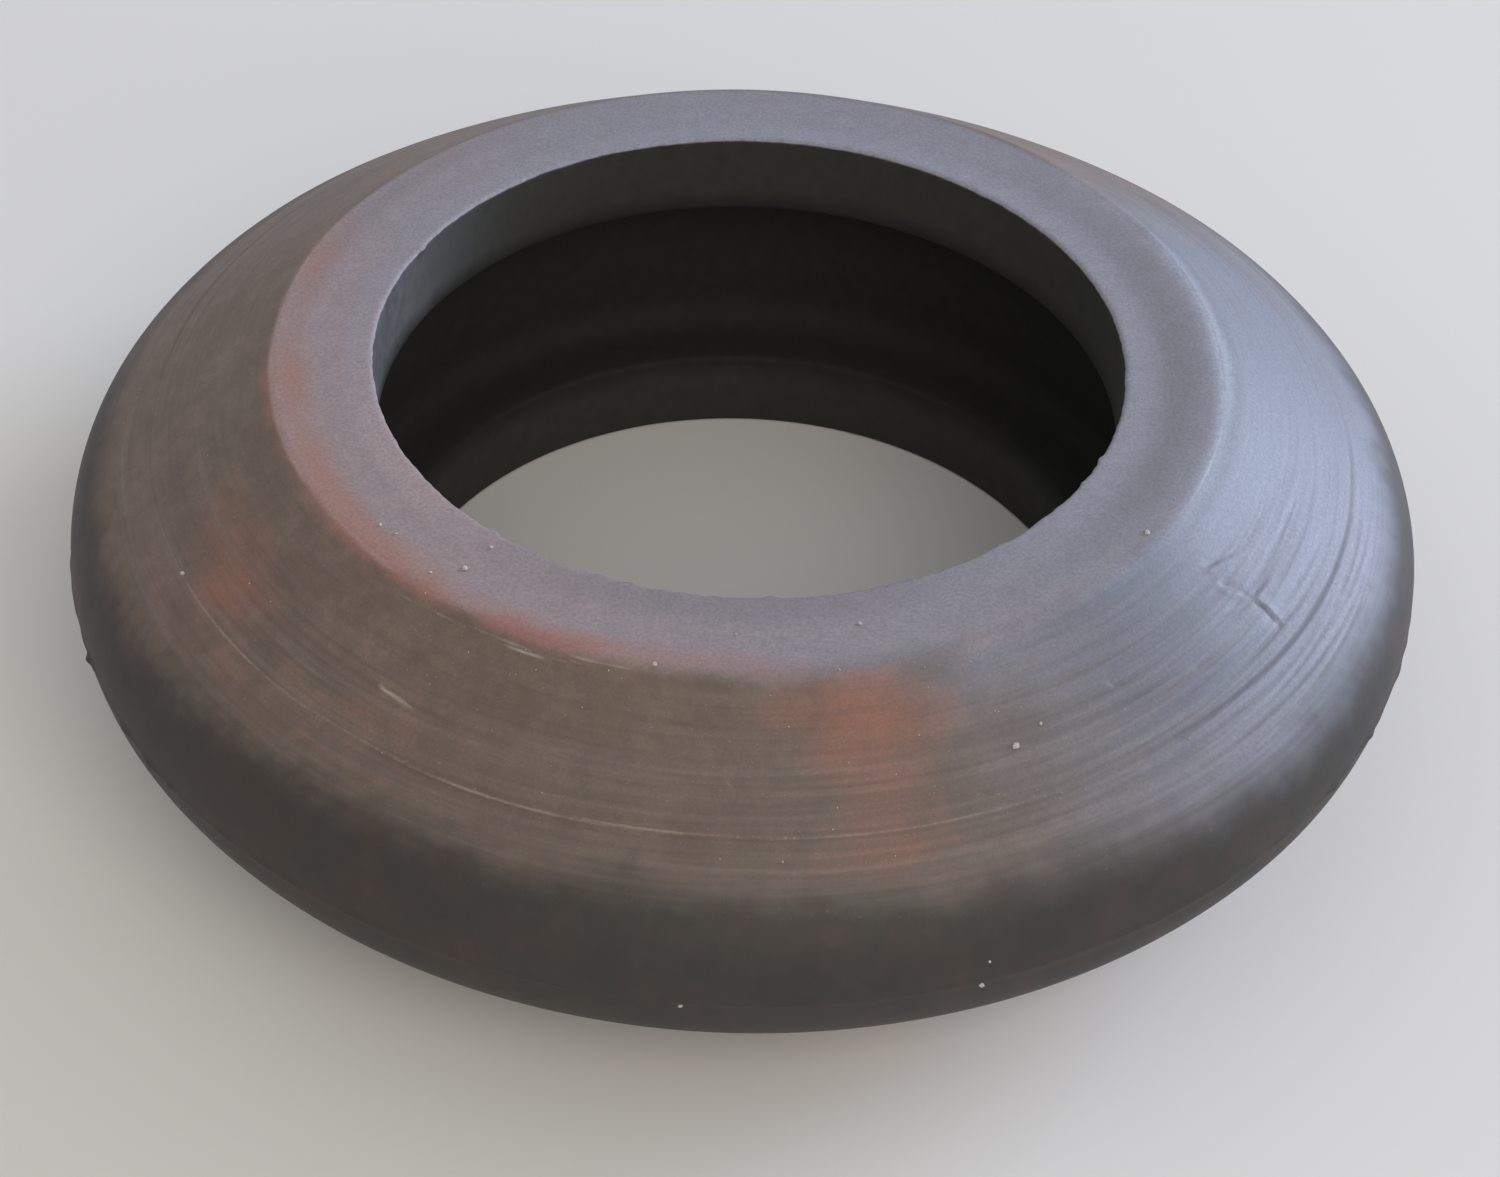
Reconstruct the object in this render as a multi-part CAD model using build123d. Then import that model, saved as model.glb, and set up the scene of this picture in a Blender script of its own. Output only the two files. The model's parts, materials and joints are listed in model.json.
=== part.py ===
from build123d import *

import math
import os

# A moulded rubber sealing ring, lying flat with its bore along +Z.
# Its two ends are alike: a flat land round the bore, then a conical flank that runs out to a rounded belt.
# All lengths are in millimetres and all angles in degrees.

# Overall section
height = 10.2
bore_diameter = 19.5
land_width = 2.6  # flat ring round the bore at each end
flank_angle = 33.0  # slope of the conical flanks above the horizontal
belt_radius = 2.7  # rounding where the two flanks meet

# Inside of the bore
lip_height = 2.4  # plain wall of the bore at each end
groove_depth = 2.1

# Flash squeezed out at the parting line, round the middle of the belt
flash_reach = 0.12
flash_thickness = 0.24

# Edge roundings
land_edge_radius = 0.5
groove_corner_radius = 0.9
lip_edge_radius = 0.15

# A rounding takes up no more than this share of the shorter of the two walls that it joins
wall_limit_share = 0.45

# Sizes worked out from those above
middle = height / 2
bore_radius = bore_diameter / 2
land_radius = bore_radius + land_width
groove_radius = bore_radius + groove_depth
flank_corner_radius = land_radius + middle / math.tan(math.radians(flank_angle))

# Corners of the sharp section, as (distance from the axis, height)
land_inner_low = (bore_radius, 0)
land_outer_low = (land_radius, 0)
flank_corner = (flank_corner_radius, middle)
land_outer_high = (land_radius, height)
land_inner_high = (bore_radius, height)
lip_end_high = (bore_radius, height - lip_height)
groove_high = (groove_radius, height - lip_height)
groove_low = (groove_radius, lip_height)
lip_end_low = (bore_radius, lip_height)

section_corners = [
    land_inner_low,
    land_outer_low,
    flank_corner,
    land_outer_high,
    land_inner_high,
    lip_end_high,
    groove_high,
    groove_low,
    lip_end_low,
]

corner_radii = {
    land_inner_low: lip_edge_radius,
    land_outer_low: land_edge_radius,
    flank_corner: belt_radius,
    land_outer_high: land_edge_radius,
    land_inner_high: lip_edge_radius,
    lip_end_high: lip_edge_radius,
    groove_high: groove_corner_radius,
    groove_low: groove_corner_radius,
    lip_end_low: lip_edge_radius,
}


def limited_radius(corner):
    """Rounding of one corner of the section, kept within its share of the two walls that meet there."""
    place = section_corners.index(corner)
    to_before = Vector(section_corners[place - 1]) - Vector(corner)
    to_after = Vector(section_corners[(place + 1) % len(section_corners)]) - Vector(corner)
    half_angle = math.radians(to_before.get_angle(to_after)) / 2
    shorter_wall = min(to_before.length, to_after.length)
    return min(corner_radii[corner], wall_limit_share * shorter_wall * math.tan(half_angle))


def belt_tip_radius():
    """Distance from the axis to the outermost point of the rounded belt."""
    cut_back = 1 / math.sin(math.radians(flank_angle)) - 1
    return flank_corner_radius - limited_radius(flank_corner) * cut_back


def body_section():
    """Section of the ring on one side of its axis, with every corner rounded."""
    flat = make_face(Polyline(*section_corners, close=True))
    for corner in section_corners:
        vertex = flat.vertices().sort_by_distance(Vector(*corner))[0]
        flat = fillet(vertex, limited_radius(corner))
    return flat


def flash_section():
    """Thin pointed fin of flash, rooted in the belt."""
    tip = belt_tip_radius()
    root = tip - flash_thickness
    half = flash_thickness / 2
    corners = [
        (root, middle - half),
        (tip, middle - half),
        (tip + flash_reach, middle),
        (tip, middle + half),
        (root, middle + half),
    ]
    return make_face(Polyline(*corners, close=True))


def make_seal_ring():
    """The whole ring: its section turned once about the axis."""
    section = Plane.XZ * (body_section() + flash_section())
    return revolve(section, Axis.Z)


os.makedirs("parts", exist_ok=True)
seal_ring = make_seal_ring()
export_step(seal_ring, "parts/seal_ring.step")
print(f"belt {2 * belt_tip_radius():.2f} mm across, {height:.2f} mm high, {seal_ring.volume:.0f} cubic mm")
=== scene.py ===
# %% [markdown]
# A worn rubber sealing ring.
# The real ring was pressed from black rubber in a two-part mould that was cut on a lathe.
# It is alike at both ends: a flat land round the bore, then a conical flank. The flanks meet in a belt.
# Years of use have left a grey bloom on the lands, red-brown stains, worn turning lines, a crease and dust.
# This lesson loads the measured frame, sets the stage, models the ring as one turned shape and ages it.

import json
import math
import random

import bmesh
import bpy
import numpy as np
from mathutils import Matrix, Vector


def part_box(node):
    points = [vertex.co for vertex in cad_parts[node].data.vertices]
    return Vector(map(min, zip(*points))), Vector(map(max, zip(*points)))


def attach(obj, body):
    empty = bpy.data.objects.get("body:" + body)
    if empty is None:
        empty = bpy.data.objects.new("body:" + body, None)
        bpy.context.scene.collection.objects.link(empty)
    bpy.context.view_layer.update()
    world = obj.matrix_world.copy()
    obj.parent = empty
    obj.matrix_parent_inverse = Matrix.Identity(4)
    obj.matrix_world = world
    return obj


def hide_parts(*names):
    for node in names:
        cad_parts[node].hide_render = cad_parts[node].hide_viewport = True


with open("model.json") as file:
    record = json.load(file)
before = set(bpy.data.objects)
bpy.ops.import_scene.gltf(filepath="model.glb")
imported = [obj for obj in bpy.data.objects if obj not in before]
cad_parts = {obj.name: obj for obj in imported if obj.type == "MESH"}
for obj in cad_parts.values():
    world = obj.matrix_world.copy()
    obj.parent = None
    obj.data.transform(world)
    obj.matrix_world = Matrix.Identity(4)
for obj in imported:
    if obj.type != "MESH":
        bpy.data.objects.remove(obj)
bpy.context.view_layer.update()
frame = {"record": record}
MM = 0.001

# %% [markdown]
# The ring's sizes come from the frame where the frame holds them: the height and the bore.
# The rest are the driving sizes of the section, written once here in millimetres and degrees.
# Everything below is worked out from these values, so the marks stay on the surfaces that carry them.

# %% Sizes of the section, in millimetres
ring_low, ring_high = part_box("seal_ring")
height = (ring_high[2] - ring_low[2]) / MM
bore_radius = frame["record"]["mounts"][0]["dims"]["r_mm"]
land_width = 2.6
flank_angle = math.radians(33)
belt_radius = 2.7
flash_reach = 0.12
flash_thickness = 0.24
lip_height = 2.4
groove_depth = 2.1
land_edge_radius = 0.5
groove_corner_radius = 0.9
lip_edge_radius = 0.15

middle = height / 2
land_radius = bore_radius + land_width
groove_radius = bore_radius + groove_depth
flank_corner_radius = land_radius + middle / math.tan(flank_angle)
belt_centre_radius = flank_corner_radius - belt_radius / math.sin(flank_angle)
belt_tip_radius = belt_centre_radius + belt_radius
print(f"height {height:.2f}, bore radius {bore_radius:.2f}, belt radius {belt_tip_radius:.2f} mm")

# %% [markdown]
# The stage is a plain pale floor under soft light.
# A wide, slightly cool light stands behind the ring to the right, as a window would.
# It slides along the flank on that side and shows up every turning line.
# A weaker, warmer light from the front keeps the near side readable, and the world fills the rest.


# %% Colours
def linear(hex_colour):
    """A colour written as sRGB hex, as linear red, green, blue and alpha."""
    channels = [int(hex_colour[i:i + 2], 16) / 255 for i in (1, 3, 5)]
    return [c / 12.92 if c <= 0.04045 else ((c + 0.055) / 1.055) ** 2.4 for c in channels] + [1.0]


print("mid grey in linear light:", [round(value, 3) for value in linear("#808080")])

# %% Floor and world
floor_width = 1200 * MM
room_strength = 0.62
bpy.ops.object.select_all(action="DESELECT")
bpy.ops.mesh.primitive_plane_add(size=floor_width, location=(0, 0, 0))
floor = bpy.context.object
floor.name = "studio_floor"
# Uncoated paper: pale and matt, so it takes a soft shadow and shows no reflection
floor_paper = bpy.data.materials.new("matt_paper")
floor_paper.use_nodes = True
paper_shader = floor_paper.node_tree.nodes["Principled BSDF"]
paper_shader.inputs["Base Color"].default_value = linear("#e4e2dd")
paper_shader.inputs["Roughness"].default_value = 0.9
floor.data.materials.append(floor_paper)

world = bpy.data.worlds.new("soft_room")
world.use_nodes = True
room_light = world.node_tree.nodes["Background"]
room_light.inputs["Color"].default_value = linear("#e9ebee")
room_light.inputs["Strength"].default_value = room_strength
bpy.context.scene.world = world
print("stage:", floor.name, "in", world.name)


# %% Lights
def soft_light(name, azimuth, elevation, distance, width, power, colour):
    """A square soft light that faces the ring. Azimuth counts from the front towards the right."""
    turn, rise = math.radians(azimuth), math.radians(elevation)
    place = Vector((math.sin(turn) * math.cos(rise), -math.cos(turn) * math.cos(rise), math.sin(rise)))
    lamp = bpy.data.lights.new(name, "AREA")
    lamp.size = width * MM
    lamp.energy = power
    lamp.color = linear(colour)[:3]
    light = bpy.data.objects.new(name, lamp)
    light.location = place * distance * MM
    light.rotation_euler = place.to_track_quat("Z", "Y").to_euler()
    bpy.context.collection.objects.link(light)
    return light


window = soft_light("window_light", azimuth=118, elevation=18, distance=420,
                    width=240, power=1.58, colour="#d2dfff")
fill = soft_light("front_fill", azimuth=22, elevation=40, distance=320,
                  width=220, power=0.36, colour="#fff4e8")
print("lights:", window.name, fill.name)

# %% [markdown]
# The camera looks down at the ring from a hand's width away, so the near flank looks larger than the far one.
# Its place is given as a height angle and a distance from the middle of the ring.
# It aims a little below that middle and leans slightly to one side, as a hand-held camera does.

# %% Camera
camera_elevation = math.radians(39.87)
camera_distance = 81.4
camera_aim = Vector((0.231, 0, 1.775))
camera_roll = math.radians(2.13)
camera_focal_length = 72

camera_data = bpy.data.cameras.new("photo_camera")
camera_data.sensor_fit = "HORIZONTAL"
camera_data.sensor_width = 36
camera_data.lens = camera_focal_length
camera_data.clip_start = 1 * MM
camera = bpy.data.objects.new("photo_camera", camera_data)
camera_place = Vector((0, -math.cos(camera_elevation), math.sin(camera_elevation))) * camera_distance
camera_place.z += middle
camera_turn = (camera_aim - camera_place).to_track_quat("-Z", "Y").to_matrix()
camera_turn = camera_turn @ Matrix.Rotation(camera_roll, 3, "Z")
camera.matrix_world = Matrix.Translation(camera_place * MM) @ camera_turn.to_4x4()
bpy.context.collection.objects.link(camera)
bpy.context.scene.camera = camera
bpy.context.scene.view_settings.view_transform = "Standard"
print("camera at", [round(v, 1) for v in camera_place], "mm")

# %% [markdown]
# The mould was turned on a lathe, so the ring is one section swept round an axis, and it is modelled so.
# A single vertex is the pen: extrude draws a straight run of the section, and spin draws an arc.
# Drawing each run in short steps gives the dense rows that the wear needs, most of them on the upper flank.


# %% A pen that draws the section
def section_point(radius, rise):
    """A point of the section, which is drawn in the plane that faces the front, in metres."""
    return Vector((radius, 0, rise)) * MM


def pen_place():
    """Where the pen is now: the one vertex that is selected."""
    mesh = bmesh.from_edit_mesh(bpy.context.object.data)
    return next(vertex.co.copy() for vertex in mesh.verts if vertex.select)


def draw_run(target, steps):
    """Extrude the pen to a point in equal steps."""
    stride = (target - pen_place()) / steps
    for _ in range(steps):
        bpy.ops.mesh.extrude_region_move(TRANSFORM_OT_translate={"value": stride})


def draw_rounding(before, corner, after, radius, run_steps, arc_steps, share=1.0):
    """Draw up to a rounded corner and, for a share of its angle, round it."""
    to_before = (before - corner).normalized()
    to_after = (after - corner).normalized()
    half_angle = to_before.angle(to_after) / 2
    start = corner + to_before * radius * MM / math.tan(half_angle)
    centre = corner + (to_before + to_after).normalized() * radius * MM / math.sin(half_angle)
    turn = math.pi - 2 * half_angle
    if to_before.cross(to_after).y < 0:
        turn = -turn
    if run_steps:
        draw_run(start, run_steps)
    bpy.ops.mesh.spin(steps=arc_steps, angle=turn * share, center=centre, axis=(0, 1, 0))


print("the pen starts near", section_point(bore_radius + lip_edge_radius, 0))

# %% Corners of the section
bore_low = section_point(bore_radius, 0)
land_low = section_point(land_radius, 0)
belt_corner = section_point(flank_corner_radius, middle)
land_high = section_point(land_radius, height)
bore_high = section_point(bore_radius, height)
lip_high = section_point(bore_radius, height - lip_height)
groove_high = section_point(groove_radius, height - lip_height)
groove_low = section_point(groove_radius, lip_height)
lip_low = section_point(bore_radius, lip_height)

belt_centre = section_point(belt_centre_radius, middle)
fin_root = section_point(math.sqrt(belt_radius ** 2 - (flash_thickness / 2) ** 2), flash_thickness / 2)
print("belt centre at", belt_centre, "and fin root at", belt_centre + fin_root)

# %% Draw the section
merge_distance = 0.001 * MM
half_belt_turn = math.pi / 2 - flank_angle
# Half of the fin's thickness, as a share of the belt's whole arc
half_fin = math.asin(flash_thickness / 2 / belt_radius) / half_belt_turn / 2
bpy.ops.object.select_all(action="DESELECT")
bpy.ops.mesh.primitive_plane_add(size=MM, location=(0, 0, 0))
ring = bpy.context.object
ring.name = "seal_body"
bpy.ops.object.mode_set(mode="EDIT")
bpy.ops.mesh.merge(type="CENTER")
bpy.ops.transform.translate(value=section_point(bore_radius + lip_edge_radius, 0))

draw_rounding(bore_low, land_low, belt_corner, land_edge_radius, run_steps=8, arc_steps=5)
draw_rounding(land_low, belt_corner, land_high, belt_radius, run_steps=28, arc_steps=14, share=0.5 - half_fin)
draw_run(section_point(belt_tip_radius + flash_reach, middle), 2)
draw_run(belt_centre + fin_root, 2)
upper_turn = half_belt_turn * (1 - 2 * half_fin)
bpy.ops.mesh.spin(steps=18, angle=upper_turn, center=belt_centre, axis=(0, 1, 0))
draw_rounding(belt_corner, land_high, bore_high, land_edge_radius, run_steps=88, arc_steps=8)
draw_rounding(land_high, bore_high, lip_high, lip_edge_radius, run_steps=20, arc_steps=5)
draw_rounding(bore_high, lip_high, groove_high, lip_edge_radius, run_steps=14, arc_steps=3)
draw_rounding(lip_high, groove_high, groove_low, groove_corner_radius, run_steps=3, arc_steps=6)
draw_rounding(groove_high, groove_low, lip_low, groove_corner_radius, run_steps=8, arc_steps=6)
draw_rounding(groove_low, lip_low, bore_low, lip_edge_radius, run_steps=3, arc_steps=3)
draw_rounding(lip_low, bore_low, land_low, lip_edge_radius, run_steps=6, arc_steps=4)
bpy.ops.mesh.select_all(action="SELECT")
bpy.ops.mesh.remove_doubles(threshold=merge_distance)
print("section points:", len(bmesh.from_edit_mesh(ring.data).verts))

# %% Spin the section into the ring
ring_steps = 300
bpy.ops.mesh.select_all(action="SELECT")
bpy.ops.mesh.spin(steps=ring_steps, angle=2 * math.pi, center=(0, 0, 0), axis=(0, 0, 1))
bpy.ops.mesh.select_all(action="SELECT")
bpy.ops.mesh.remove_doubles(threshold=merge_distance)
bpy.ops.mesh.normals_make_consistent(inside=False)
print("ring:", len(bmesh.from_edit_mesh(ring.data).faces), "faces")

# %% [markdown]
# Wear needs finer rows than the turned shape has, but only in a few places.
# Each place is a window on the upper flank: an angle from the front and a reach down the slope from the land.
# Only the edges that run round the ring are subdivided there, because across them the rows are fine already.
# The bore's upper edge and the flash are refined all the way round, for their small ragged nibs.

# %% Places on the surface
flank_end_radius = belt_centre_radius + belt_radius * math.sin(flank_angle)
flank_length = (flank_end_radius - land_radius) / math.cos(flank_angle)
belt_half_height = belt_radius * math.cos(flank_angle)
rim_band = 1.5 * lip_edge_radius
same_place = 0.001  # nearer than this, two heights or radii are one
hair = 0.005  # a step clear of the belt's own surface
near_surface = 0.02  # nearer than this, a point lies on a land or a flank


def angle_from_front(x, y):
    """Degrees round the ring, from the front towards the right."""
    return np.degrees(np.arctan2(x, -y))


def flank_reach(radius):
    """Millimetres down the flank from the land's sharp edge."""
    return (radius - land_radius) / math.cos(flank_angle)


print(f"flank {flank_length:.2f} mm long")

# %% Windows that carry wear
wear_windows = {
    "crease": dict(angles=(44, 66), reaches=(1.0, 4.1)),
    "raised scratch": dict(angles=(-38, -28), reaches=(2.2, 2.9)),
    "nick": dict(angles=(-3, 2), reaches=(2.2, 3.1)),
    "dash": dict(angles=(35, 42), reaches=(1.7, 2.6)),
    "cracked edge": dict(angles=(-42, -8), reaches=(-0.1, 0.6)),
}


def carries_wear(point):
    """Whether a point of the ring lies in a window of wear, on the bore's upper edge or on the flash."""
    radius = point.xy.length
    if radius > belt_tip_radius - hair:
        return True
    if point.z > height - rim_band and radius < bore_radius + rim_band:
        return True
    if point.z < middle + belt_half_height:
        return False
    angle = angle_from_front(point.x, point.y)
    reach = flank_reach(radius)
    for window in wear_windows.values():
        first_angle, last_angle = window["angles"]
        first_reach, last_reach = window["reaches"]
        if first_angle < angle < last_angle and first_reach < reach < last_reach:
            return True
    return False


print("windows of wear:", ", ".join(wear_windows))

# %% Refine the windows
bpy.ops.mesh.select_mode(type="EDGE")
bpy.ops.mesh.select_all(action="DESELECT")
mesh = bmesh.from_edit_mesh(ring.data)
for edge in mesh.edges:
    first, second = (vertex.co / MM for vertex in edge.verts)
    same_height = abs(first.z - second.z) < same_place
    same_radius = abs(first.xy.length - second.xy.length) < same_place
    if same_height and same_radius and carries_wear((first + second) / 2):
        edge.select = True
bmesh.update_edit_mesh(ring.data)
bpy.ops.mesh.subdivide(number_cuts=3)
print("edges refined:", sum(edge.select for edge in bmesh.from_edit_mesh(ring.data).edges))
bpy.ops.object.mode_set(mode="OBJECT")
ring.data.calc_loop_triangles()
print("after refining:", len(ring.data.loop_triangles), "triangles")

# %% [markdown]
# Subdividing cuts each chord into straight parts, so the new points are first moved out onto the true circle.
# Then the wear is worked out as a lift along the surface normal for every vertex, in millimetres.
# By hand this would be sculpting; in code each mark is a short formula, so it can be read and changed.

# %% Read the surface
vertex_count = len(ring.data.vertices)
points = np.empty(vertex_count * 3)
ring.data.vertices.foreach_get("co", points)
points = points.reshape(-1, 3) / MM
normals = np.empty(vertex_count * 3)
ring.data.vertices.foreach_get("normal", normals)
normals = normals.reshape(-1, 3)

rise = points[:, 2].copy()
radius = np.hypot(points[:, 0], points[:, 1])
angle = angle_from_front(points[:, 0], points[:, 1])
step_angle = np.radians(360 / ring_steps)
off_step = np.radians(angle + 90) % step_angle - step_angle / 2
radius = radius * np.cos(off_step) / math.cos(step_angle / 2)
reach = flank_reach(radius)
depth_from_end = middle - np.abs(rise - middle)
upper = rise > middle
on_flank = np.abs(depth_from_end - reach * math.sin(flank_angle)) < near_surface
on_flank &= (reach > 0) & (reach < flank_length)
outside = radius > land_radius - near_surface
on_land = (depth_from_end < near_surface) & (radius < land_radius)
# One coordinate from the bore across the land and down the flank, zero at the land's sharp edge
across = np.where(radius < land_radius, radius - land_radius, reach)
near_end = depth_from_end < middle - belt_half_height
lift = np.zeros(vertex_count)
print("vertices on flanks:", int(on_flank.sum()), "on lands:", int(on_land.sum()))


# %% Noise, ramps and humps
def ragged(seed, waves):
    """Noise round the ring, about minus one to one, with no seam, from cosine waves of seeded phase."""
    dice = random.Random(seed)
    total = sum(dice.uniform(0.5, 1.0) * np.cos(np.radians(angle) * wave + dice.uniform(0, 2 * math.pi))
                for wave in waves)
    return total / math.sqrt(len(waves) / 2)


def smooth_step(value, start, end):
    """Zero before the start, one after the end, and a soft ramp between them."""
    share = np.clip((value - start) / (end - start), 0, 1)
    return share * share * (3 - 2 * share)


def hump(value, centre, width):
    """One at the centre, and falling off on both sides over a width."""
    return np.exp(-((value - centre) / width) ** 2)


def turn_from(centre):
    """Degrees round the ring from a centre, between minus 180 and 180."""
    return (angle - centre + 180) % 360 - 180


def around(centre, spread):
    """One at an angle round the ring, and falling off on both sides over a spread in degrees."""
    return hump(turn_from(centre), 0, spread)


sample = ragged(1, (3, 5, 8))
print(f"a sample of the noise runs from {sample.min():.2f} to {sample.max():.2f}")

# %% [markdown]
# The mould's flanks were turned with a pointed tool, and the rubber copied its fine rings.
# Each ring is a shallow groove that comes and goes as it runs round, because wear has thinned it.
# One ring is much deeper: a score line low on the flank, which wanders outwards on the right.
# Long scratches cross the rings there at a slight angle, and they are painted darker.

# %% Turning lines
line_count = 90
first_line_reach = 0.35
line_widths = (0.035, 0.08)
line_depths = (0.0005, 0.0035)
line_wander = 0.08
right_lines = 1 - 0.6 * around(95, 26) + 1.8 * around(52, 18)
line_wear = (0.35 + 1.2 * smooth_step(reach, 0.8, 3.2)) * right_lines
for side, seed in ((upper, 11), (~upper, 12)):
    dice = random.Random(seed)
    for _ in range(line_count):
        centre = dice.uniform(first_line_reach, flank_length)
        width = dice.uniform(*line_widths)
        depth = dice.uniform(*line_depths)
        wander = dice.uniform(0, line_wander) * np.cos(np.radians(angle - dice.uniform(0, 360)))
        strength = 0.5 + 0.5 * np.cos(np.radians(angle - dice.uniform(0, 360)) * dice.choice((1, 2, 3)))
        lift -= side * on_flank * line_wear * depth * strength * hump(reach, centre + wander, width)
print("turning lines on each flank:", line_count)

# %% Score line, with a low burr beside it
score_width, score_depth = 0.045, 0.02
burr_width, burr_height, burr_offset = 0.06, 0.005, 0.14
score_path = 3.87 + 0.37 * around(85, 38) + 0.015 * ragged(21, (5, 9, 14))
score_strength = (0.75 + 0.25 * ragged(22, (4, 7, 15, 23))) * (1 - 0.9 * around(116, 28))
lift -= upper * on_flank * score_depth * score_strength * hump(reach, score_path, score_width)
lift += upper * on_flank * burr_height * score_strength * hump(reach, score_path + burr_offset, burr_width)
print(f"score line at a reach of {score_path.min():.2f} to {score_path.max():.2f} mm")

# %% Long scratches, painted darker
long_scratches = (  # reach, drift in millimetres a degree, angle, spread in degrees, depth
    (4.93, 0.006, 58, 20, 0.030), (4.62, -0.004, 62, 16, 0.022), (4.38, 0.008, 50, 15, 0.030),
    (3.62, 0.010, 55, 12, 0.026), (3.30, 0.006, 44, 12, 0.028), (2.95, -0.006, 48, 9, 0.018),
    (2.70, 0.004, 40, 11, 0.022), (2.20, 0.000, 36, 9, 0.016), (5.20, -0.004, 52, 13, 0.022),
    (4.75, 0.012, 70, 8, 0.022), (3.45, 0.014, 66, 7, 0.020), (2.45, 0.012, 70, 6, 0.016),
    (4.10, -0.008, 41, 8, 0.020), (1.75, 0.008, 66, 5, 0.014),
)
scratch_width = 0.05
deepest_scratch = 0.03
darkening_width = 0.08
score_darkening, most_scratch_darkening = 1.2, 0.42
scratch_darkening = upper * on_flank * score_darkening * around(60, 24) * hump(reach, score_path, darkening_width)
for scratch_reach, drift, scratch_angle, spread, depth in long_scratches:
    scratch_path = scratch_reach + drift * turn_from(scratch_angle)
    mark = upper * on_flank * around(scratch_angle, spread) * hump(reach, scratch_path, scratch_width)
    lift -= depth * mark
    scratch_darkening += most_scratch_darkening * depth / deepest_scratch * mark
print("long scratches:", len(long_scratches))

# %% [markdown]
# On the right flank the rubber is torn: a main crease runs down the slope and two short branches leave it.
# Elsewhere are a small tear, a raised scratch, a nick, short marks and cracks on the land's front left edge.
# Each is a stroke of a few points, by angle and reach, that thins out at its ends.
# Its depth cuts a groove, and its fold lifts the rubber on one side and sinks it on the other.

# %% Strokes of wear
strokes = {  # width, depth and fold in millimetres, then the path
    "crease top": (0.042, 0.034, 0.034, ((56.5, 1.78), (57.3, 2.05), (58.1, 2.3), (58.9, 2.75))),
    "crease foot": (0.032, 0.026, -0.03, ((58.6, 2.6), (59.1, 3.0), (59.2, 3.4), (59.3, 3.95))),
    "crease upper branch": (0.06, 0.018, 0.022, ((58.7, 2.72), (60.2, 2.66), (61.6, 2.72), (63.4, 2.72))),
    "crease lower branch": (0.06, 0.012, -0.016, ((59.0, 2.78), (57.2, 2.66), (55.0, 2.42))),
    "small tear": (0.05, 0.024, 0.028, ((56.6, 1.2), (57.6, 1.36), (59.2, 1.45), (63.5, 1.82))),
    "short arc": (0.05, 0.008, 0.01, ((46.4, 2.8), (48.2, 3.06), (50.0, 3.24))),
    "dash": (0.05, 0.012, 0.008, ((37.6, 1.9), (38.3, 2.15), (39.0, 2.4))),
    "raised scratch": (0.045, -0.035, 0.0, ((-36.0, 2.48), (-34.6, 2.56), (-32.7, 2.59), (-30.2, 2.66))),
    "nick": (0.06, 0.02, 0.016, ((-1.6, 2.4), (-0.9, 2.52), (-0.1, 2.75), (0.4, 2.95))),
    "edge crack one": (0.03, 0.018, 0.014, ((-40, 0.44), (-34, 0.38), (-28, 0.4))),
    "edge crack two": (0.03, 0.024, 0.018, ((-34, 0.26), (-27, 0.32), (-20, 0.36))),
    "edge crack three": (0.03, 0.018, 0.014, ((-27, 0.46), (-21, 0.42), (-15, 0.28))),
    "edge crack four": (0.03, 0.024, 0.016, ((-21, 0.16), (-15, 0.2), (-10, 0.2))),
}
print("strokes:", ", ".join(strokes))

# %% Follow a stroke
far_off = 9.0


def follow(path):
    """For each vertex: its distance from a stroke on the flat flank, its side and how far along it is."""
    stretch = math.radians(1) * radius
    nearest = np.full(vertex_count, far_off)
    side = np.zeros(vertex_count)
    share = np.zeros(vertex_count)
    runs = len(path) - 1
    for step, ((angle_a, reach_a), (angle_b, reach_b)) in enumerate(zip(path, path[1:])):
        run = np.array([(angle_b - angle_a) * stretch, np.full(vertex_count, reach_b - reach_a)])
        away = np.array([(angle - angle_a) * stretch, across - reach_a])
        along = np.clip((run * away).sum(0) / (run * run).sum(0), 0, 1)
        gap = np.hypot(*(away - run * along))
        closer = gap < nearest
        nearest = np.where(closer, gap, nearest)
        side = np.where(closer, np.sign(run[0] * away[1] - run[1] * away[0]), side)
        share = np.where(closer, (step + along) / runs, share)
    return nearest, side, share


print("distances from a stroke are counted up to", far_off, "mm")

# %% Cut and fold along the strokes
fold_reach = 0.22
stroke_marks = {}
for name, (width, depth, fold, path) in strokes.items():
    distance, side, share = follow(path)
    distance = np.where(upper & near_end, distance, far_off)
    taper = smooth_step(share, 0, 0.3) * smooth_step(share, 1, 0.6)
    stroke_marks[name] = taper * hump(distance, 0, width)
    lift -= depth * stroke_marks[name]
    lift += fold * taper * side * np.tanh(distance / width) * hump(distance, 0, fold_reach)
# The crease's foot is painted darker too
scratch_darkening += 0.5 * stroke_marks["crease foot"]
print(f"lift so far from {lift.min():.3f} to {lift.max():.3f} mm")

# %% [markdown]
# Where the mould's halves met, rubber squeezed out into a thin fin round the belt, and most has broken off.
# The same happened at the bore's upper edge, so that edge is ragged, with a few longer nibs.
# Each nib is a hump with an angle, a size and a width in degrees, on top of a seeded ragged line.

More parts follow.
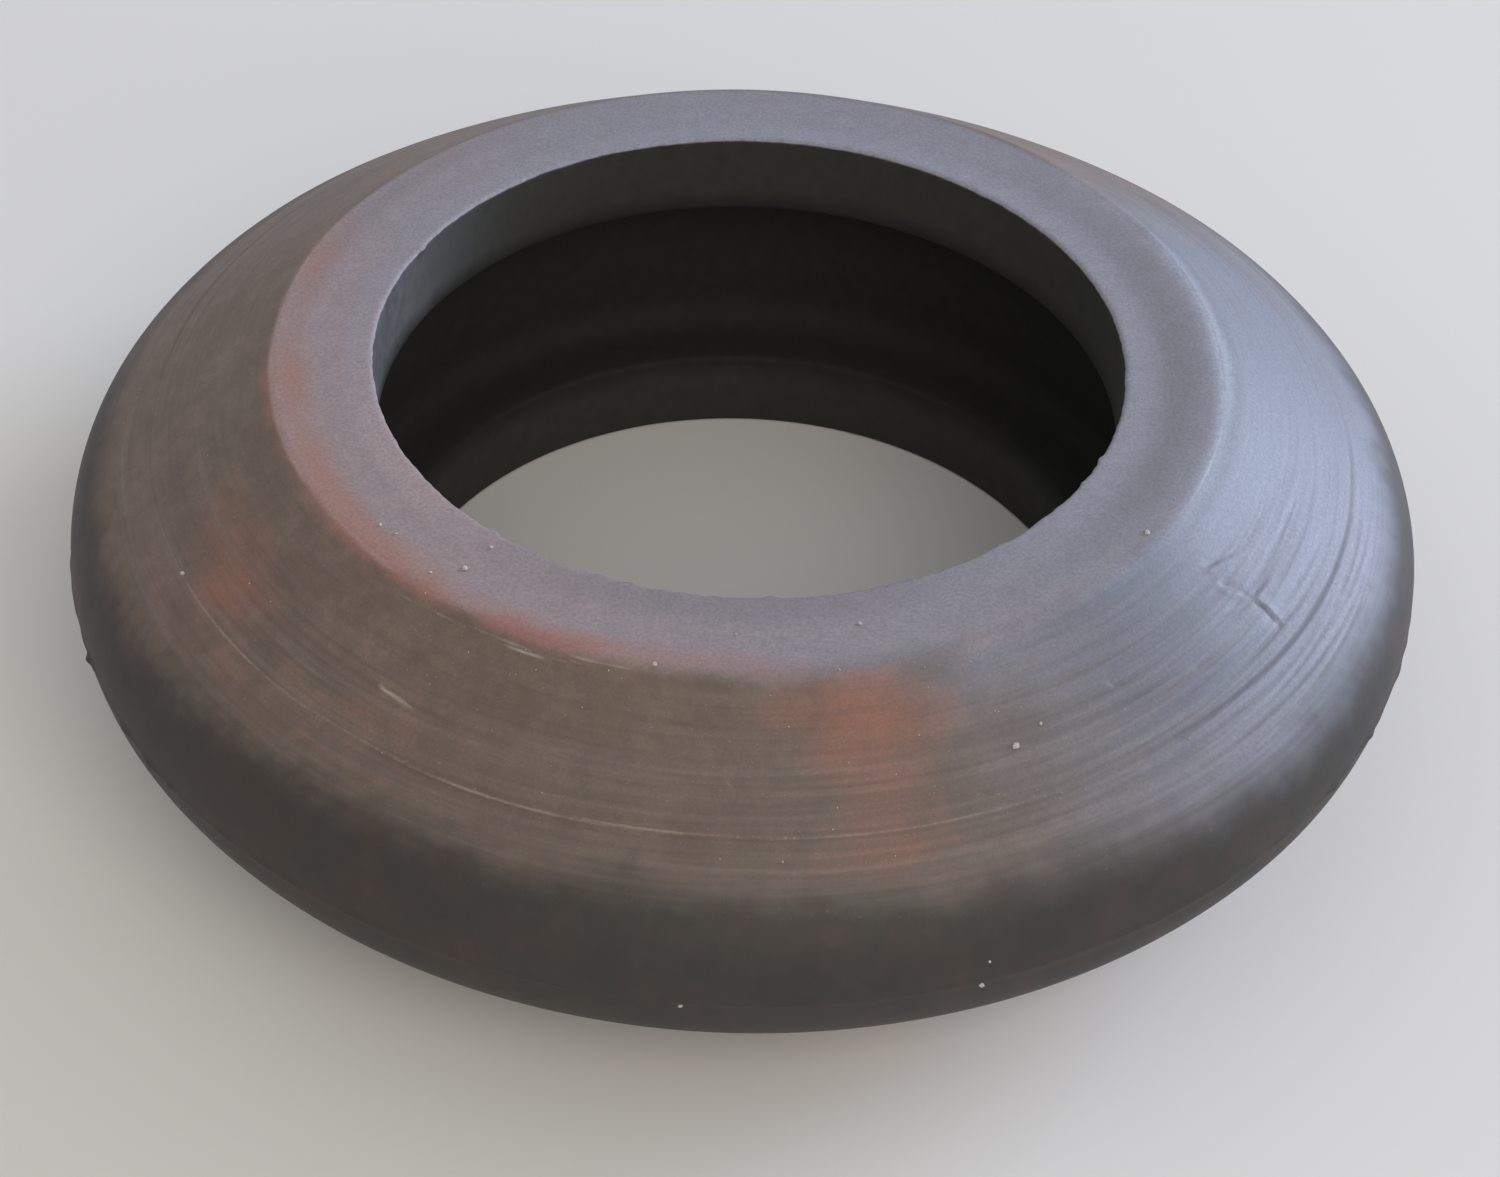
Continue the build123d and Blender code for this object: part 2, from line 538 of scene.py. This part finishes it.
# %% Broken flash round the belt
flash_nibs = (  # angle, share of the whole fin that is left, width in degrees
    (-66, 1.0, 0.7), (-57, 0.7, 1.4), (-52.5, 0.8, 1.6), (-49.5, 0.6, 0.8), (54.9, 0.7, 1.2),
    (61.9, 0.7, 1.0), (-140, 0.8, 1.5), (110, 0.6, 2.0), (158, 0.9, 1.2),
)
least_fin, whole_fin = 0.05, 1.0
fin_share = 0.22 + 0.12 * ragged(31, (7, 13, 29, 47)) + 0.10 * ragged(32, (61, 83, 109))
for nib_angle, nib_share, nib_width in flash_nibs:
    fin_share = np.maximum(fin_share, nib_share * around(nib_angle, nib_width))
fin_share = np.clip(fin_share, least_fin, whole_fin)
on_fin = radius > belt_tip_radius + hair
radius = np.where(on_fin, belt_tip_radius + (radius - belt_tip_radius) * fin_share, radius)
print("nibs on the flash:", len(flash_nibs))

# %% Ragged upper edge of the bore
bore_nibs = (  # angle, length in millimetres, width in degrees
    (65.1, 0.1, 0.9), (58.8, 0.07, 0.8), (39.3, 0.1, 1.2), (3.9, 0.13, 1.0), (-15.7, 0.1, 0.9),
    (-20.1, 0.12, 1.1), (-38, 0.1, 1.0), (-113.7, 0.12, 1.2), (140, 0.08, 1.5), (-165, 0.08, 1.4),
    (48, 0.06, 2.5), (22, 0.05, 3.0),
)
nib_thickness = 0.13
nib_length = 0.018 + 0.018 * ragged(41, (7, 13, 31, 53)) + 0.008 * ragged(42, (97, 131, 163))
for nib_angle, length, nib_width in bore_nibs:
    nib_length = np.maximum(nib_length, length * around(nib_angle, nib_width))
bore_corner = np.hypot(radius - bore_radius, height - rise)
radius = radius - np.clip(nib_length, 0, 1) * hump(bore_corner, 0, nib_thickness)
print("nibs on the bore's edge:", len(bore_nibs))

# %% [markdown]
# Rubber shrinks as it cools, so the lands are slightly hollow and no surface is perfectly even.
# The land's right edge has been pressed rounder than the rest, so its corner is blended over a wider band.
# Then every vertex moves along its normal by the lift that has been added up.


# %% Uneven surfaces
def blended_edge(band):
    """Height of the land's outer edge from the land, when its corner is blended over a band on each side."""
    away = radius - land_radius
    blend = -math.tan(flank_angle) * (away + band) ** 2 / (4 * band)
    return np.where(away < -band, 0, np.where(away > band, -math.tan(flank_angle) * away, blend))


land_hollow = 0.05
pressed_band = 0.6
moulded_band = land_edge_radius * math.tan(flank_angle / 2)
right_side = around(85, 45)
outer_face = radius > bore_radius + 1
land_middle = bore_radius + land_width / 2
lift -= on_land * land_hollow * (1 - ((radius - land_middle) / (land_width / 2)) ** 2)
lift -= upper * near_end * outer_face * right_side * (blended_edge(moulded_band) - blended_edge(pressed_band))
unevenness = 0.012 * ragged(51, (2, 3, 5)) * np.cos(rise * 0.6 + 1)
unevenness += 0.008 * ragged(52, (7, 11)) * np.cos(rise * 1.3)
# The end that the ring rests on stays level
uneven_share = np.where(upper, 1, smooth_step(depth_from_end, 0.0, 0.6))
lift += outside * unevenness * uneven_share * ~on_fin
print(f"unevenness from {unevenness.min():.3f} to {unevenness.max():.3f} mm")

# %% Move the vertices
heading = np.radians(angle)
points = np.column_stack((np.sin(heading) * radius, -np.cos(heading) * radius, rise))
points += normals * lift[:, None]
points[:, 2] = np.clip(points[:, 2], 0, height)
ring.data.vertices.foreach_set("co", (points * MM).ravel())
ring.data.update()
bpy.ops.object.shade_smooth()
print(f"lift from {lift.min():.3f} to {lift.max():.3f} mm")

# %% [markdown]
# Colour follows use: the lands have a grey bloom where wax came to the surface. The belt is painted dark, as
# painted shade.
# Pressing has worn the land's outer edge pinkish, and iron in the water has stained a few patches red-brown.
# Each is painted onto the vertices as a mask, as with a weight brush, and the material mixes by the masks.


# %% A brush, and the masks of the bore and the lands
def paint(name, values):
    """Store one value for each vertex as an attribute that the material can read."""
    layer = ring.data.attributes.new(name, "FLOAT", "POINT")
    layer.data.foreach_set("value", np.clip(values, 0, 1).astype(np.float32))


# The bore is dark from just below its upper edge, and over the whole of its lower edge
below_rim = np.where(upper, smooth_step(depth_from_end, 0.05, 0.13), smooth_step(depth_from_end, 0.0, 0.02))
in_bore = (radius < land_radius - 0.3) * below_rim
in_bore = np.where(upper | (radius > bore_radius + lip_edge_radius), in_bore, 1.0)
bloom_depth = 0.6
land_mask = near_end * (depth_from_end < bloom_depth) * (1 - in_bore)
# Millimetres across at which the land's bloom starts and is full, which lie further apart at the front
soft_front = around(16, 26)
land_start = 0.2 - 0.25 * right_side + 0.6 * soft_front
land_full = -0.25 - 0.25 * right_side - 0.55 * soft_front
land_mask = land_mask * smooth_step(across, land_start, land_full)
print("land mask on", int((land_mask > 0.5).sum()), "vertices")

# %% Masks of the flanks
by_pattern = 0.5  # a mask at half leaves it to the pattern where a layer shows
paint("flank_tint", by_pattern * outside)
left_side = around(-80, 42)
line_cover = np.clip(line_wear, 0.6, 1.1) * (1 - 0.35 * right_side - 0.4 * left_side)
paint("ring_lines", by_pattern * outside * (1 - land_mask) * line_cover)
paint("scratch_darkening", scratch_darkening)
# Painted sheen: the right side, where the window light grazes, is painted grey, a little less so low down,
# and a faint grey patch lies beside the front stain
sheen_side = smooth_step(np.abs(turn_from(80)), 70, 26) * (1 - 0.15 * smooth_step(reach, 2.8, 4.6))
sheen_side = sheen_side + 0.32 * around(25, 8) * smooth_step(reach, 2.4, 0.2)
# Painted shade: a darker band on the flank at about 46 degrees, fading out low down
paint("flank_painted_shade", on_flank * around(46, 11) * smooth_step(reach, 4.6, 3.0))
paint("side_painted_sheen", (radius > land_radius - 1) * sheen_side * (1 - land_mask) * (1 - in_bore))
print(f"grey on the right flank up to {sheen_side.max():.2f}")

# %% Masks of the belt
# Painted shade on the belt: millimetres above and below the parting line at which it starts and is full,
# softer at the front right and front left
belt_height = np.abs(rise - middle) + 0.05 * ragged(61, (2, 5, 9)) - 0.15 * around(-25, 30)
soft_shade_edge = around(46, 26) + 0.6 * around(-58, 20)
belt_shade_mask = outside * smooth_step(belt_height, 2.85 + 0.2 * soft_shade_edge, 1.3 - 0.8 * soft_shade_edge)
paint("belt_painted_shade", belt_shade_mask)
# Brown stains and darker painted shade, in patches on the belt's painted shade
paint("belt_stain", (0.45 + 0.3 * around(-48, 24)) * belt_shade_mask)
print("belt mask on", int((belt_shade_mask > 0.5).sum()), "vertices")

# %% Masks on the lands and in the bore
front_side = around(2, 40)
back_left = around(-118, 36)
paint("land_bloom", land_mask)
paint("land_fleck", by_pattern * land_mask)
warm_rim = 0.45 * smooth_step(across, -1.3, -0.4) * around(-112, 34)
paint("warm_land", land_mask * (around(-55, 75) + warm_rim))
shaded_right = hump(across, -1.2, 0.55) * right_side
shaded_back = 0.8 * hump(across, -0.4, 0.45) * back_left
paint("land_shade", land_mask * (shaded_right + shaded_back))
inner_rim = smooth_step(across, -1.4, -2.3)
paint("inner_land", land_mask * inner_rim * (1 - front_side))
paint("pink_rim", land_mask * inner_rim * around(-56, 26))
paint("front_land", land_mask * smooth_step(across, -1.2, -2.2) * front_side)
paint("bore_dark", in_bore)
paint("bore_fleck", by_pattern * in_bore)
# Painted light: the bore's upper lip is painted lighter on the left, where the window light reaches it
paint("lip_painted_light", in_bore * upper * around(-98, 28))
# Painted shade: the groove behind the bore's lips is painted near black
groove_shade = smooth_step(depth_from_end, lip_height - 1.0, lip_height + 0.1)
paint("groove_painted_shade", in_bore * groove_shade)
print("bore mask on", int((in_bore > 0.5).sum()), "vertices")

# %% Masks of the worn edge of the land
left_front = (0.08 + 0.92 * around(-54, 62)) * (1 - 0.8 * around(38, 20))
wide_wear = around(-80, 25)
edge_wear = hump(across, -0.25 - 0.22 * wide_wear, 0.48 + 0.12 * wide_wear)
edge_wear = edge_wear * left_front * (0.8 + 0.2 * ragged(62, (3, 8, 13))) * (1 + 0.35 * wide_wear)
paint("edge_wear", near_end * edge_wear)
# Painted highlight: a thin pale pink line along the crest of the land's edge on the left
glint_line = hump(across, 0.03 * ragged(64, (4, 9, 17)), 0.08) * around(-68, 34)
paint("edge_painted_glint", upper * near_end * outer_face * glint_line * (0.65 + 0.3 * ragged(65, (11, 19, 37))))
# Painted highlight: a pale bluish band along the land's outer edge on the right, where the window light falls
paint("edge_painted_highlight", upper * near_end * outer_face * hump(across, -0.02, 0.3) * around(88, 34))
print(f"pink wear on the land's edge up to {edge_wear.max():.2f}")

# %% Masks of the red-brown stains
red_patches = (  # angle, reach, spread in degrees, spread in millimetres, strength
    (12, 1.2, 6, 0.8, 0.55), (14, 2.3, 5, 0.9, 0.55), (8.5, 2.1, 4, 0.7, 0.35), (14, 3.3, 6, 0.8, 0.5),
    (12, 0.4, 7, 0.5, 0.4), (12.5, 4.5, 6, 0.6, 0.55), (19, 1.3, 6, 0.7, 0.3), (3, 1.0, 6, 0.4, 0.2),
    (-60, 2.7, 9, 1.4, 0.42), (-57, 3.4, 5, 0.7, 0.3), (-52, 2.3, 5, 0.7, 0.25), (-66, 1.4, 8, 0.7, 0.25),
    (-44, 4.4, 12, 0.5, 0.25), (-24, -0.15, 8, 0.35, 0.8), (-44, 0.0, 14, 0.3, 0.5),
    (-31, 3.2, 12, 0.8, 0.3), (-75, 0.2, 20, 0.35, 0.4), (168, 2.4, 12, 1.2, 0.5), (-128, 1.2, 9, 0.8, 0.4),
)
red_stain = np.zeros(vertex_count)
for patch_angle, patch_reach, spread, patch_height, strength in red_patches:
    red_stain += strength * around(patch_angle, spread) * hump(across, patch_reach, patch_height)
paint("red_stain", near_end * red_stain)
paint("edge_red", near_end * red_stain * hump(across, -0.1, 0.5))
print("red-brown patches:", len(red_patches))

# %% Masks of pale scuffs, skin and fine dust
dashes = smooth_step(ragged(63, (9, 23, 41, 67)), -0.5, 0.5)
score_pale = around(-16, 42) + 0.3 * around(-64, 18)
pale_scuff = on_flank * score_pale * hump(reach, score_path - 0.01, 0.03) * (0.45 + 0.2 * dashes)
for name, mark in stroke_marks.items():
    if name.startswith("edge crack"):
        pale_scuff += (0.25 + 0.5 * dashes) * mark
pale_scuff += 0.8 * stroke_marks["raised scratch"]
pale_scuff += 0.2 * stroke_marks["nick"]
paint("pale_scuff", upper * pale_scuff)
paint("skin", by_pattern * (1 - belt_shade_mask) * (1 - in_bore))
paint("fine_dust", 0.08 * outside * (1 - belt_shade_mask))
print("masks:", [layer.name for layer in ring.data.attributes if layer.data_type == "FLOAT"])

# %% [markdown]
# The material is old moulded rubber: dark and dull, with a faint gloss where light grazes it.
# Its small patterns are rings of a tenth of a millimetre from the turned mould, a fine grain and stains.
# The rings are noise on stretched coordinates: the heading from the axis changes slowly, the radius fast.

# %% The rubber, and a way to add nodes
# Black rubber pressed in a turned mould and aged: brown-black and dull, with a soft sheen at a low angle
rubber = bpy.data.materials.new("aged_moulded_rubber")
rubber.use_nodes = True
tree = rubber.node_tree
rubber_shader = tree.nodes["Principled BSDF"]
rubber_shader.inputs["IOR"].default_value = 1.52  # as natural rubber has


def add_node(tree, kind, settings=None, **inputs):
    """Add one node, set its properties, and set or link its inputs, where in_2 is the third socket."""
    node = tree.nodes.new(kind)
    for name, value in (settings or {}).items():
        setattr(node, name, value)
    for name, value in inputs.items():
        label = int(name[3:]) if name.startswith("in_") else name.replace("_", " ")
        socket = node.inputs[label]
        if isinstance(value, bpy.types.NodeSocket):
            tree.links.new(value, socket)
        else:
            socket.default_value = value
    return node


print("material:", rubber.name)


# %% Patterns in the rubber
def per_mm(size):
    """The texture scale at which one cell of a pattern is so many millimetres."""
    return 1 / (size * MM)


place = add_node(tree, "ShaderNodeTexCoord").outputs["Object"]
flat = add_node(tree, "ShaderNodeVectorMath", {"operation": "MULTIPLY"}, in_0=place, in_1=(1, 1, 0))
axis_distance = add_node(tree, "ShaderNodeVectorMath", {"operation": "LENGTH"}, in_0=flat.outputs[0])
axis_heading = add_node(tree, "ShaderNodeVectorMath", {"operation": "NORMALIZE"}, in_0=flat.outputs[0])
patterns = {}
for name, spacing, turns, detail in (("fine rings", 0.11, 9, 3), ("broad rings", 0.32, 5, 2)):
    rings = add_node(tree, "ShaderNodeMath", {"operation": "MULTIPLY"},
                     in_0=axis_distance.outputs["Value"], in_1=per_mm(spacing))
    layer = add_node(tree, "ShaderNodeCombineXYZ", Z=rings.outputs[0])
    slow = add_node(tree, "ShaderNodeVectorMath", {"operation": "SCALE"},
                    in_0=axis_heading.outputs[0], Scale=turns / math.pi)
    drawn_out = add_node(tree, "ShaderNodeVectorMath", {"operation": "ADD"},
                         in_0=slow.outputs[0], in_1=layer.outputs[0])
    noise = add_node(tree, "ShaderNodeTexNoise", Vector=drawn_out.outputs[0], Scale=1.0, Detail=detail)
    clear = add_node(tree, "ShaderNodeMapRange", Value=noise.outputs["Fac"], From_Min=0.3, From_Max=0.7)
    patterns[name] = clear.outputs["Result"]
# The grain of real rubber is a few hundredths of a millimetre, and it is drawn coarser so that it shows
for name, size, detail in (("blotch", 3.5, 3), ("mottle", 1.6, 4), ("fleck", 0.45, 4), ("grain", 0.09, 3)):
    noise = add_node(tree, "ShaderNodeTexNoise", Vector=place, Scale=per_mm(size), Detail=detail)
    clear = add_node(tree, "ShaderNodeMapRange", Value=noise.outputs["Fac"], From_Min=0.3, From_Max=0.7)
    patterns[name] = clear.outputs["Result"]
print("patterns:", ", ".join(patterns))

# %% [markdown]
# The finish is built up in layers, from the bare brown flank upwards, as it came onto the real ring.
# A layer covers those below it by its mask, and its pattern moves the edge of that cover in and out.
# Patchiness is how far: at 0 the edge is as smooth as the mask, and at 1 it is as sharp as the pattern.

# %% Layers of the finish
layers = (  # mask, pattern, patchiness, most cover, colour, roughness
    ("flank_tint", "mottle", 0.6, 1.0, "#7b675c", 0.47),
    ("flank_tint", "blotch", 0.7, 0.35, "#6b5f51", 0.47),
    ("flank_tint", "fleck", 0.8, 0.25, "#574a42", 0.49),
    # Painted sheen on the right side
    ("side_painted_sheen", "mottle", 0.15, 0.95, "#7f8694", 0.48),
    # Painted shade on the flank
    ("flank_painted_shade", "mottle", 0.4, 0.5, "#5b5d66", 0.50),
    ("red_stain", "mottle", 0.4, 0.8, "#96624f", 0.50),
    ("ring_lines", "broad rings", 0.6, 0.22, "#8b7f78", 0.44),
    ("ring_lines", "fine rings", 0.6, 0.34, "#4c433e", 0.54),
    # Scratches and the score line, painted darker
    ("scratch_darkening", "fleck", 0.2, 0.78, "#43434b", 0.58),
    # Painted shade on the belt
    ("belt_painted_shade", "blotch", 0.4, 0.5, "#36322d", 0.58),
    ("belt_painted_shade", "mottle", 0.3, 1.0, "#302e29", 0.60),
    # Brown stains and darker painted shade on the belt
    ("belt_stain", "mottle", 0.6, 0.6, "#46362f", 0.58),
    ("belt_stain", "fleck", 0.5, 0.35, "#262520", 0.62),
    ("land_bloom", "mottle", 0.1, 1.0, "#8f909a", 0.62),
    ("warm_land", "mottle", 0.2, 1.0, "#9f8e8f", 0.62),
    ("land_shade", "mottle", 0.2, 0.8, "#7d7d85", 0.62),
    ("inner_land", "mottle", 0.2, 0.45, "#9c9da9", 0.62),
    ("pink_rim", "mottle", 0.2, 0.5, "#b89e99", 0.62),
    ("front_land", "mottle", 0.2, 0.4, "#75757d", 0.62),
    ("land_fleck", "fleck", 0.45, 0.3, "#75737a", 0.66),
    # Painted highlight on the land's right edge
    ("edge_painted_highlight", "mottle", 0.2, 0.9, "#a9afbd", 0.50),
    ("edge_wear", "mottle", 0.3, 0.9, "#9f796d", 0.56),
    ("edge_red", "mottle", 0.4, 0.7, "#99645c", 0.54),
    # Painted highlight on the land's left edge
    ("edge_painted_glint", "fleck", 0.2, 0.6, "#b8958b", 0.50),
    ("skin", "grain", 0.6, 0.24, "#48423d", 0.60),
    ("pale_scuff", "grain", 0.2, 1.0, "#b0a294", 0.70),
    ("bore_dark", "fleck", 0.3, 1.0, "#33322d", 0.82),
    # Painted light on the bore's upper lip
    ("lip_painted_light", "fleck", 0.3, 1.0, "#5b5d5c", 0.80),
    # Painted shade in the groove
    ("groove_painted_shade", "mottle", 0.3, 1.0, "#191815", 0.85),
    ("bore_fleck", "fleck", 0.5, 0.5, "#262521", 0.85),
    ("fine_dust", "grain", 0.9, 0.25, "#b5aca6", 0.80),
)
colour = linear("#6e5a4f")
dullness = 0.47
for mask_name, pattern, patchiness, cover, layer_colour, layer_roughness in layers:
    mask = add_node(tree, "ShaderNodeAttribute", {"attribute_name": mask_name})
    edge = add_node(tree, "ShaderNodeMath", {"operation": "MULTIPLY"},
                    in_0=patterns[pattern], in_1=patchiness)
    full = add_node(tree, "ShaderNodeMath", {"operation": "ADD"}, in_0=edge.outputs[0], in_1=1 - patchiness)
    share = add_node(tree, "ShaderNodeMapRange", Value=mask.outputs["Fac"],
                     From_Min=edge.outputs[0], From_Max=full.outputs[0], To_Max=cover)
    covered = add_node(tree, "ShaderNodeMix", {"data_type": "RGBA"},
                       in_0=share.outputs["Result"], in_6=colour, in_7=linear(layer_colour))
    dulled = add_node(tree, "ShaderNodeMix",
                      in_0=share.outputs["Result"], in_2=dullness, in_3=layer_roughness)
    colour = covered.outputs[2]
    dullness = dulled.outputs[0]
tree.links.new(colour, rubber_shader.inputs["Base Color"])
tree.links.new(dullness, rubber_shader.inputs["Roughness"])
print("layers:", len(layers))

# %% Relief too fine for the mesh
reliefs = (  # pattern, strength, depth in millimetres
    ("fine rings", 0.4, 0.003), ("broad rings", 0.35, 0.005), ("grain", 0.5, 0.003),
)
relief = None
for pattern, strength, depth in reliefs:
    bump = add_node(tree, "ShaderNodeBump", Strength=strength, Distance=depth * MM, Height=patterns[pattern])
    if relief:
        tree.links.new(relief, bump.inputs["Normal"])
    relief = bump.outputs["Normal"]
tree.links.new(relief, rubber_shader.inputs["Normal"])
ring.data.materials.append(rubber)
print("rubber nodes:", len(tree.nodes))

# %% [markdown]
# Pale grains of dust cling to the rubber, the largest near the front of the flank.
# One grain is modelled from a small ball whose points are shaken and squashed, and the others are its copies.
# Each copy has its own size and turn and is sunk a little into the surface. All are joined into one piece.

# %% One grain of dust
bpy.ops.object.select_all(action="DESELECT")
bpy.ops.mesh.primitive_ico_sphere_add(subdivisions=2, radius=0.5 * MM)
first_grain = bpy.context.object
bpy.ops.object.mode_set(mode="EDIT")
bpy.ops.mesh.select_all(action="SELECT")
bpy.ops.transform.vertex_random(offset=0.11 * MM, uniform=0.3, normal=0.4, seed=5)
bpy.ops.transform.resize(value=(1.1, 0.85, 0.65))
bpy.ops.object.mode_set(mode="OBJECT")
print("grain of", len(first_grain.data.polygons), "faces, one millimetre across before it is scaled")

# %% Places of the grains
large_grains = (  # place, angle, across from the land's edge or height on the belt, size
    ("end", 26.3, 2.61, 0.17), ("end", -35.9, -1.13, 0.15), ("end", 14.8, -1.44, 0.10),
    ("end", 54.8, -0.37, 0.15), ("end", -62.1, 3.85, 0.12), ("end", -9.0, 0.0, 0.11),
    ("end", 29.5, 2.3, 0.08), ("end", -38.5, -0.5, 0.08), ("end", -49.0, -0.75, 0.09),
    ("end", -46.5, -0.85, 0.07), ("end", -36.0, -2.1, 0.10),
    ("belt", -3.4, 4.97, 0.11), ("belt", 18.9, 4.96, 0.14), ("belt", 19.4, 5.65, 0.07),
)

land_dip = 0.03  # about how far the hollow land lies below its edges


def outer_surface(where, grain_angle, position):
    """A point on the upper end or on the belt, and the way out of the surface there, in millimetres."""
    if where == "belt":
        slope = math.asin((position - middle) / belt_radius)
        spot_radius, spot_rise = belt_centre_radius + belt_radius * math.cos(slope), position
        out = (math.cos(slope), math.sin(slope))
    elif position < 0:
        spot_radius, spot_rise = land_radius + position, height - land_dip
        out = (0, 1)
    else:
        spot_radius = land_radius + position * math.cos(flank_angle)
        spot_rise = height - position * math.sin(flank_angle)
        out = (math.sin(flank_angle), math.cos(flank_angle))
    turn = math.radians(grain_angle)
    spot = Vector((math.sin(turn) * spot_radius, -math.cos(turn) * spot_radius, spot_rise))
    return spot, Vector((math.sin(turn) * out[0], -math.cos(turn) * out[0], out[1]))


dice = random.Random(71)
tiny_sizes = (0.022, 0.042)
front_count, loose_count = 30, 40
tiny_grains = []
for _ in range(front_count):
    tiny_grains.append(("end", dice.gauss(5, 30), dice.uniform(0.3, 5.0), dice.uniform(*tiny_sizes)))
for _ in range(loose_count):
    tiny_grains.append(("end", dice.uniform(-180, 180), dice.uniform(-2.2, 5.0), dice.uniform(*tiny_sizes)))
print("grains:", len(large_grains), "large and", len(tiny_grains), "tiny")

# %% Scatter the grains
grains = []
raised_share = 0.12  # how far a grain's middle stands off the surface, as a share of its size
for where, grain_angle, position, size in list(large_grains) + tiny_grains:
    spot, out = outer_surface(where, grain_angle, position)
    grain = first_grain.copy()
    grain.data = first_grain.data.copy()
    own_turn = Matrix.Rotation(dice.uniform(0, 2 * math.pi), 3, "Z")
    grain.rotation_euler = (out.to_track_quat("Z", "Y").to_matrix() @ own_turn).to_euler()
    grain.scale = (size, size, size)
    grain.location = (spot + out * size * raised_share) * MM
    bpy.context.collection.objects.link(grain)
    grains.append(grain)
bpy.data.objects.remove(first_grain)
bpy.ops.object.select_all(action="DESELECT")
for grain in grains:
    grain.select_set(True)
bpy.context.view_layer.objects.active = grains[0]
bpy.ops.object.join()
bpy.ops.object.transform_apply(location=True, rotation=True, scale=True)
dust = bpy.context.object
dust.name = "dust_grains"
print("dust faces:", len(dust.data.polygons))

# %% House dust
# Fibres and skin flakes pressed together: pale, dry and with no gloss
house_dust = bpy.data.materials.new("house_dust")
house_dust.use_nodes = True
dust_tree = house_dust.node_tree
dust_shader = dust_tree.nodes["Principled BSDF"]
dust_place = add_node(dust_tree, "ShaderNodeTexCoord").outputs["Object"]
dust_noise = add_node(dust_tree, "ShaderNodeTexNoise", Vector=dust_place, Scale=per_mm(0.08), Detail=2.0)
dust_colour = add_node(dust_tree, "ShaderNodeMix", {"data_type": "RGBA"}, in_0=dust_noise.outputs["Fac"],
                       in_6=linear("#9c928a"), in_7=linear("#cfc7c0"))
dust_tree.links.new(dust_colour.outputs[2], dust_shader.inputs["Base Color"])
dust_shader.inputs["Roughness"].default_value = 0.85
dust.data.materials.append(house_dust)
print("dust nodes:", len(dust_tree.nodes))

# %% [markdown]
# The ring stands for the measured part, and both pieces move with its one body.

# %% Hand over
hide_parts("seal_ring")
for piece in (ring, dust):
    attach(piece, "root")
print("pieces:", ring.name, dust.name)
